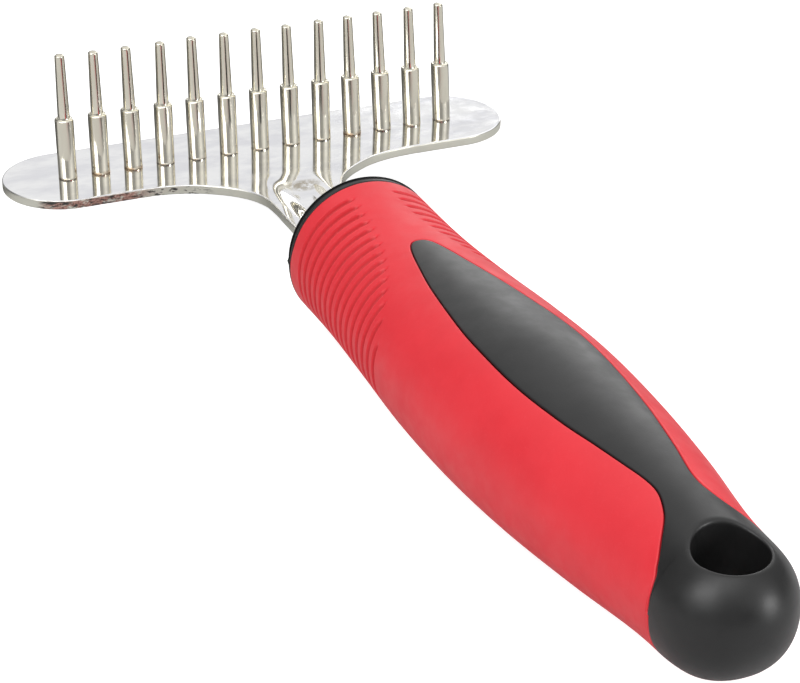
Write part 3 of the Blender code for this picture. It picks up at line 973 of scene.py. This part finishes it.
class NodeCalls:
    """Short calls for the nodes that the materials and the world share."""

    def __init__(self, tree):
        self.nodes = tree.nodes
        self.links = tree.links

    def feed(self, value, socket):
        """Links a node's output to a socket, or sets the socket's own value."""
        if isinstance(value, bpy.types.NodeSocket):
            self.links.new(value, socket)
        else:
            socket.default_value = value

    def parts(self, vector):
        """A vector's X, Y and Z."""
        node = self.nodes.new("ShaderNodeSeparateXYZ")
        self.links.new(vector, node.inputs["Vector"])
        return [node.outputs[name] for name in "XYZ"]

    def math(self, operation, first, second=0.0):
        node = self.nodes.new("ShaderNodeMath")
        node.operation = operation
        self.feed(first, node.inputs[0])
        self.feed(second, node.inputs[1])
        return node.outputs["Value"]

    def product(self, first, *others):
        for other in others:
            first = self.math("MULTIPLY", first, other)
        return first

    def between(self, value, low, high, out_low=0.0, out_high=1.0):
        """A value's place between two limits, eased, as a number between two others."""
        node = self.nodes.new("ShaderNodeMapRange")
        node.interpolation_type = "SMOOTHSTEP"
        self.links.new(value, node.inputs["Value"])
        numbers = (("From Min", low), ("From Max", high), ("To Min", out_low), ("To Max", out_high))
        for socket, number in numbers:
            node.inputs[socket].default_value = number
        return node.outputs["Result"]

    def band(self, value, rise, fall):
        """1 where a value lies past the rise and before the fall, eased over each pair of limits."""
        return self.product(self.between(value, *rise), self.between(value, *fall, 1.0, 0.0))

    def blend(self, share, first, second):
        """A mix of two colours, given as red, green and blue or as another node's output."""
        node = self.nodes.new("ShaderNodeMix")
        node.data_type = "RGBA"
        self.feed(share, node.inputs["Factor"])
        for value, socket in ((first, node.inputs[6]), (second, node.inputs[7])):
            self.feed((*value, 1.0) if isinstance(value, tuple) else value, socket)
        return node.outputs[2]


class Look(NodeCalls):
    """A node material around a Principled shader."""

    def __init__(self, name, **settings):
        self.material = bpy.data.materials.new(name)
        self.material.use_nodes = True
        super().__init__(self.material.node_tree)
        self.shader = self.nodes["Principled BSDF"]
        for socket, value in settings.items():
            self.shader.inputs[socket.replace("_", " ")].default_value = value
        self.coordinates = self.nodes.new("ShaderNodeTexCoord").outputs
        self.place = self.coordinates["Object"]

    def noise(self, scale, detail=2.0, roughness=0.5, seed=0.0):
        """Noise over the object; scale holds repeats per metre, for all three axes or for each."""
        stretch = self.nodes.new("ShaderNodeMapping")
        stretch.inputs["Scale"].default_value = scale if isinstance(scale, tuple) else (scale, scale, scale)
        self.links.new(self.place, stretch.inputs["Vector"])
        node = self.nodes.new("ShaderNodeTexNoise")
        node.noise_dimensions = "4D"
        node.inputs["W"].default_value = seed
        node.inputs["Scale"].default_value = 1.0
        node.inputs["Detail"].default_value = detail
        node.inputs["Roughness"].default_value = roughness
        self.links.new(stretch.outputs["Vector"], node.inputs["Vector"])
        return node.outputs["Fac"]

    def attribute(self, name):
        node = self.nodes.new("ShaderNodeAttribute")
        node.attribute_name = name
        return node.outputs["Fac"]

    def facing_up(self):
        """How far the piece's own surface faces up, from -1 to 1."""
        return self.parts(self.coordinates["Normal"])[2]

    def bump(self, height, depth, under=None):
        """A bump of this depth in metres where the height goes from 0 to 1."""
        node = self.nodes.new("ShaderNodeBump")
        node.inputs["Strength"].default_value = 1.0
        node.inputs["Distance"].default_value = depth
        self.links.new(height, node.inputs["Height"])
        if under is not None:
            self.links.new(under, node.inputs["Normal"])
        return node.outputs["Normal"]

    def finish(self, colour=None, roughness=None, normal=None, metallic=None):
        values = {"Base Color": colour, "Roughness": roughness, "Normal": normal, "Metallic": metallic}
        for socket, value in values.items():
            if value is not None:
                self.links.new(value, self.shader.inputs[socket])
        return self.material


# Where the plate's marks lie in the layout frame: the channel's brown stain, then the marks of the near edge,
# with the pairs of limits between which each comes in and goes out
STAIN_CENTRE = (1.4 * MM, -19.8 * MM)
STAIN_SIZE = (3.4 * MM, 2.2 * MM)
STAIN_BROWN = (0.36, 0.31, 0.22)
EDGE_BEHIND = (-9.0 * MM, -7.0 * MM)
EDGE_BELOW = (-0.30 * MM, -0.06 * MM)
RUST_X = ((-47.0 * MM, -44.0 * MM), (-29.0 * MM, -24.0 * MM))
RUST_COLOURS = ((0.17, 0.075, 0.055), (0.52, 0.31, 0.26))
PITS_X = ((-47.0 * MM, -45.0 * MM), (-17.0 * MM, -14.0 * MM))
BLACK_X = ((-46.5 * MM, -45.0 * MM), (-41.5 * MM, -40.0 * MM))
BLACK_ABOVE = (-1.0 * MM, -0.7 * MM)
PIT_BLACK = (0.03, 0.028, 0.025)
PLATE_SILVER = ((0.93, 0.93, 0.935), (0.80, 0.80, 0.83))
PLATE_SIDE = (0.70, 0.69, 0.61)
PLATE_SIDE_ROUGHNESS = 0.36


def stain_share(look, x, y):
    """The brown stain where the channel begins, as an oval with a broken edge."""
    squares = []
    for at, centre, size in zip((x, y), STAIN_CENTRE, STAIN_SIZE):
        offset = look.math("DIVIDE", look.math("SUBTRACT", at, centre), size)
        squares.append(look.product(offset, offset))
    oval = look.between(look.math("ADD", *squares), 0.1, 1.3, 0.85, 0.0)
    return look.product(oval, look.between(look.noise(900.0, 4.0, 0.65, seed=15.0), 0.3, 0.6))


def edge_marks(look, x, y, z):
    """How rusted and how pitted the near edge's left part is."""
    edge = look.product(look.between(y, *EDGE_BEHIND, 1.0, 0.0), look.between(z, *EDGE_BELOW, 1.0, 0.0))
    blotch = look.noise((700.0, 700.0, 1300.0), 4.0, 0.65, seed=5.0)
    rust = look.product(look.band(x, *RUST_X), edge, look.between(blotch, 0.40, 0.50))
    pit = look.noise((800.0, 800.0, 2200.0), 3.0, 0.6, seed=11.0)
    pits = look.product(look.band(x, *PITS_X), edge, look.between(pit, 0.53, 0.60))
    upper = look.between(z, *BLACK_ABOVE)
    black = look.product(look.band(x, *BLACK_X), edge, upper, look.between(blotch, 0.46, 0.56, 1.0, 0.1))
    return rust, look.math("MAXIMUM", pits, black)


def plate_look():
    look = Look("nickel_plate_worn")
    x, y, z = look.parts(look.place)
    cloud = look.noise((90.0, 160.0, 90.0), 3.0, 0.6)
    side = look.between(look.math("ABSOLUTE", look.facing_up()), 0.35, 0.8, 1.0, 0.0)
    silver = look.blend(look.between(cloud, 0.38, 0.66), *PLATE_SILVER)
    silver = look.blend(side, silver, PLATE_SIDE)
    silver = look.blend(stain_share(look, x, y), silver, STAIN_BROWN)
    fleck = look.noise(3200.0, 3.0, 0.7, seed=7.0)
    rust, pits = edge_marks(look, x, y, z)
    rust_colour = look.blend(look.between(fleck, 0.38, 0.62), *RUST_COLOURS)
    colour = look.blend(rust, silver, rust_colour)
    colour = look.blend(pits, colour, PIT_BLACK)

    bare = look.math("MAXIMUM", rust, pits)
    metal = look.math("SUBTRACT", 1.0, bare)
    smear = look.between(look.noise(260.0, 4.0, 0.6, seed=3.0), 0.35, 0.7, 0.05, 0.13)
    roughness = look.math("MAXIMUM", smear, look.product(bare, 0.6))
    roughness = look.math("MAXIMUM", roughness, look.product(side, PLATE_SIDE_ROUGHNESS))
    normal = look.bump(look.noise((120.0, 4200.0, 900.0), 3.0, 0.6, seed=2.0), 0.0012 * MM)
    normal = look.bump(look.noise(420.0, 2.0, 0.5, seed=9.0), 0.0025 * MM, under=normal)
    normal = look.bump(look.product(rust, fleck), 0.12 * MM, under=normal)
    return look.finish(colour, roughness, normal, metal)


def pin_look(name, rusty):
    look = Look(name, Metallic=1.0)
    z = look.parts(look.place)[2]
    tone = look.noise((260.0, 260.0, 60.0), 3.0, 0.6, seed=1.0)
    nickel = look.blend(look.between(tone, 0.35, 0.65), (0.81, 0.775, 0.665), (0.71, 0.675, 0.565))
    foot = look.between(z, 0.0, (0.9 if rusty else 0.45) * MM, 1.0, 0.0)
    stain = look.noise(900.0, 3.0, 0.6, seed=4.0)
    low, high = (0.34, 0.55) if rusty else (0.38, 0.7)
    stained = look.product(foot, look.between(stain, low, high))
    colour = look.blend(stained, nickel, (0.42, 0.29, 0.18))
    smear = look.between(look.noise((500.0, 500.0, 140.0), 3.0, 0.6, seed=8.0), 0.3, 0.7, 0.10, 0.2)
    roughness = look.math("ADD", smear, look.product(stained, 0.25))
    turned = look.noise((300.0, 300.0, 9000.0), 2.0, 0.5, seed=6.0)
    normal = look.bump(turned, 0.0004 * MM)
    normal = look.bump(look.noise(500.0, 2.0, 0.5, seed=12.0), 0.0005 * MM, under=normal)
    return look.finish(colour, roughness, normal)


def washer_look():
    look = Look("washer_steel_plain", Metallic=1.0)
    tone = look.noise(800.0, 3.0, 0.6)
    colour = look.blend(look.between(tone, 0.35, 0.65), (0.60, 0.59, 0.56), (0.44, 0.43, 0.41))
    roughness = look.between(look.noise(1500.0, 3.0, 0.6, seed=2.0), 0.3, 0.7, 0.28, 0.45)
    return look.finish(colour, roughness, look.bump(look.noise(3000.0, 2.0, 0.5, seed=3.0), 0.004 * MM))


def plastic_look():
    look = Look("core_plastic_matte", Specular_IOR_Level=0.5)
    tone = look.noise(120.0, 4.0, 0.55)
    colour = look.blend(look.between(tone, 0.3, 0.7), (0.008, 0.008, 0.0082), (0.0125, 0.0125, 0.0127))
    grain = look.noise(4200.0, 2.0, 0.5, seed=2.0)
    roughness = look.between(look.noise(300.0, 3.0, 0.6, seed=3.0), 0.3, 0.7, 0.34, 0.42)
    return look.finish(colour, roughness, look.bump(grain, 0.006 * MM))


def rubber_look():
    look = Look("grip_rubber_soft", Specular_IOR_Level=0.62)
    tone = look.noise(90.0, 4.0, 0.55)
    colour = look.blend(look.between(tone, 0.3, 0.7), (0.79, 0.023, 0.037), (0.74, 0.019, 0.032))
    speck = look.noise(2200.0, 3.0, 0.6, seed=4.0)
    colour = look.blend(look.between(speck, 0.55, 0.8, 0.0, 0.25), colour, (0.82, 0.07, 0.09))
    # Painted shade: the grooves are painted a darker, deeper red where they sink, standing in for the shade
    # inside them
    colour = look.blend(look.between(look.attribute("groove_shade"), 0.05, 0.6), colour, (0.58, 0.0, 0.008))
    grain = look.noise(3600.0, 3.0, 0.55, seed=2.0)
    roughness = look.between(look.noise(250.0, 3.0, 0.6, seed=3.0), 0.3, 0.7, 0.46, 0.58)
    return look.finish(colour, roughness, look.bump(grain, 0.008 * MM))


def floor_look(name, glow, shadow_band_tone):
    """Pale paper, with a band of another tone painted beyond the rake: a painted shadow on the floor, which
    the plating picks up as its dark edges.
    """
    look = Look(name, Roughness=0.9, Specular_IOR_Level=0.0, Emission_Strength=glow)
    look.shader.inputs["Emission Color"].default_value = (1.0, 1.0, 1.0, 1.0)
    tone = look.noise(6.0, 2.0, 0.5)
    paper = look.blend(look.between(tone, 0.3, 0.7), (0.66, 0.66, 0.66), (0.63, 0.63, 0.63))
    near, far = ROW_Y + SHADOW_BAND_NEAR, ROW_Y + SHADOW_BAND_FAR
    along = look.parts(look.place)[1]
    # Painted shadow: a darker band on the floor beyond the rake, which the pins and plate mirror as dark
    # edges
    shadow_band = look.band(along, (near, near + SHADOW_BAND_NEAR_EASE), (far, far + SHADOW_BAND_FAR_EASE))
    return look.finish(look.blend(shadow_band, paper, (shadow_band_tone, shadow_band_tone, shadow_band_tone)))


# ---------------------------------------------------------------- studio


# The studio's walls 28 degrees up: (degrees round from the camera's side, brightness)
STUDIO_WALLS = (
    (-179, 0.88), (-158, 0.88), (-136, 0.20), (-118, 0.20), (-92, 0.50), (-72, 1.12),
    (-42, 1.12), (-24, 0.60), (-8, 0.42), (10, 0.42), (32, 0.85), (48, 1.10),
    (62, 1.10), (78, 0.80), (100, 0.48), (135, 0.50), (158, 0.88), (179, 0.88),
)
# The bands above the walls: (sines of the angles up between which each comes in)
WALLS_RISE = (0.18, 0.36)
OVERHEAD_RISE = (0.60, 0.85)
ZENITH_RISE = (0.95, 0.985)
HORIZON_GLOW = 0.15
OVERHEAD_GLOW = 0.95
ZENITH_GLOW = 0.5
CAMERA_GLOW = 1.0  # what the camera itself sees behind the rake
# The painted shadow band on the floor: how far beyond the pin row it lies, and how softly it starts and ends
SHADOW_BAND_NEAR, SHADOW_BAND_FAR = 14.0 * MM, 72.0 * MM
SHADOW_BAND_NEAR_EASE, SHADOW_BAND_FAR_EASE = 14.0 * MM, 20.0 * MM
FLOOR_HALF_SIZE = 4.0
LIT_FLOOR_BELOW = 0.02 * MM
# Tones of the painted shadow band: dark on the floor that lights and is mirrored, close to the paper's own
# tone on the floor that the camera sees
LIT_FLOOR_SHADOW_BAND = 0.12
SEEN_FLOOR_SHADOW_BAND = 0.65
SEEN_FLOOR_GLOW = 0.8
SOFTBOX_DISTANCE = 0.8
SOFTBOX_TARGET = Vector((0.0, -0.02, 0.02))
# (name, degrees round from +Y towards +X, degrees up, size, watts)
SOFTBOXES = (
    ("softbox_overhead", -150.0, 62.0, (0.6, 0.6), 1.3),
    ("softbox_front_left", -113.0, 35.0, (0.45, 0.45), 1.9),
    ("softbox_rear_right", 60.0, 40.0, (0.6, 0.45), 0.6),
    ("strip_rear_right", 34.0, 11.0, (0.40, 0.16), 0.55),
    ("strip_front_right", 140.0, 9.0, (0.25, 0.20), 1.5),
)


def grey(tone):
    return (tone, tone, tone)


def tone_ramp(tree, value, stops):
    """A smooth run of greys; stops holds (position, brightness)."""
    node = tree.nodes.new("ShaderNodeValToRGB")
    tree.links.new(value, node.inputs["Fac"])
    elements = node.color_ramp.elements
    node.color_ramp.interpolation = "EASE"
    elements.remove(elements[-1])
    for number, (position, glow) in enumerate(stops):
        element = elements[0] if number == 0 else elements.new(position)
        element.position = position
        element.color = (*grey(glow), 1.0)
    return node.outputs["Color"]


def build_world():
    """Bright walls and ceiling, whose darker gaps are what the plating picks up as streaks."""
    world = bpy.data.worlds.new("studio")
    bpy.context.scene.world = world
    world.use_nodes = True
    tree = NodeCalls(world.node_tree)
    x, y, up = tree.parts(tree.nodes.new("ShaderNodeTexCoord").outputs["Generated"])
    camera_side = math.atan2(CAMERA_AT.x, CAMERA_AT.y - ROW_Y)
    turned = tree.math("DIVIDE", tree.math("SUBTRACT", camera_side, tree.math("ARCTAN2", x, y)), 2 * math.pi)
    share = tree.math("FRACT", tree.math("ADD", turned, 1.5))
    walls = tone_ramp(tree, share, [(degrees / 360 + 0.5, glow) for degrees, glow in STUDIO_WALLS])
    lit = tree.blend(tree.between(up, *WALLS_RISE), grey(HORIZON_GLOW), walls)
    lit = tree.blend(tree.between(up, *OVERHEAD_RISE), lit, grey(OVERHEAD_GLOW))
    lit = tree.blend(tree.between(up, *ZENITH_RISE), lit, grey(ZENITH_GLOW))
    seen = tree.nodes.new("ShaderNodeLightPath").outputs["Is Camera Ray"]
    background = tree.nodes["Background"]
    tree.links.new(tree.blend(seen, lit, grey(CAMERA_GLOW)), background.inputs["Color"])
    background.inputs["Strength"].default_value = 1.0


def build_softbox(name, round_about, up, size, power):
    round_about, up = math.radians(round_about), math.radians(up)
    aim = Vector((math.sin(round_about) * math.cos(up), math.cos(round_about) * math.cos(up), math.sin(up)))
    data = bpy.data.lights.new(name, "AREA")
    data.shape = "RECTANGLE"
    data.size, data.size_y = size
    data.energy = power
    lamp = bpy.data.objects.new(name, data)
    lamp.location = SOFTBOX_TARGET + aim * SOFTBOX_DISTANCE
    lamp.rotation_euler = (-aim).to_track_quat("-Z", "Y").to_euler()
    bpy.context.scene.collection.objects.link(lamp)


def floor_plane(name, below, look):
    half = FLOOR_HALF_SIZE
    corners = [(-half, -half, -below), (half, -half, -below), (half, half, -below), (-half, half, -below)]
    mesh = bpy.data.meshes.new(name)
    mesh.from_pydata(corners, [], [(0, 1, 2, 3)])
    mesh.materials.append(look)
    floor = bpy.data.objects.new(name, mesh)
    bpy.context.scene.collection.objects.link(floor)
    return floor


def build_studio():
    build_world()
    for softbox in SOFTBOXES:
        build_softbox(*softbox)
    lit_look = floor_look("floor_pale", 0.0, LIT_FLOOR_SHADOW_BAND)
    floor_plane("studio_floor", LIT_FLOOR_BELOW, lit_look).visible_camera = False
    # What the camera sees is the same floor, exposed until its shadows wash out
    seen_look = floor_look("floor_bright", SEEN_FLOOR_GLOW, SEEN_FLOOR_SHADOW_BAND)
    seen_floor = floor_plane("studio_floor_washed_out", 0.0, seen_look)
    for rays in ("visible_diffuse", "visible_glossy", "visible_transmission", "visible_shadow"):
        setattr(seen_floor, rays, False)


def build_camera():
    forward = Vector((
        math.sin(CAMERA_AZIMUTH) * math.cos(CAMERA_DOWN),
        math.cos(CAMERA_AZIMUTH) * math.cos(CAMERA_DOWN),
        -math.sin(CAMERA_DOWN),
    ))
    level = Vector((math.cos(CAMERA_AZIMUTH), -math.sin(CAMERA_AZIMUTH), 0.0))
    upright = level.cross(forward)
    right = level * math.cos(CAMERA_ROLL) + upright * math.sin(CAMERA_ROLL)
    up = upright * math.cos(CAMERA_ROLL) - level * math.sin(CAMERA_ROLL)
    data = bpy.data.cameras.new("photo_camera")
    data.lens = CAMERA_LENS
    data.sensor_width = CAMERA_SENSOR
    data.shift_x, data.shift_y = CAMERA_SHIFT
    data.clip_start, data.clip_end = CAMERA_CLIP
    camera = bpy.data.objects.new("photo_camera", data)
    turn = Matrix((right, up, -forward)).transposed().to_4x4()
    camera.matrix_world = Matrix.Translation(CAMERA_AT) @ turn
    bpy.context.scene.collection.objects.link(camera)
    bpy.context.scene.camera = camera


build_plate(plate_look())
build_pins(pin_look("nickel_pin_bright", False), pin_look("nickel_pin_stained", True))
build_washers(washer_look())
build_core(plastic_look())
build_sleeve(rubber_look())
build_studio()
build_camera()
bpy.context.scene.view_settings.view_transform = "Standard"
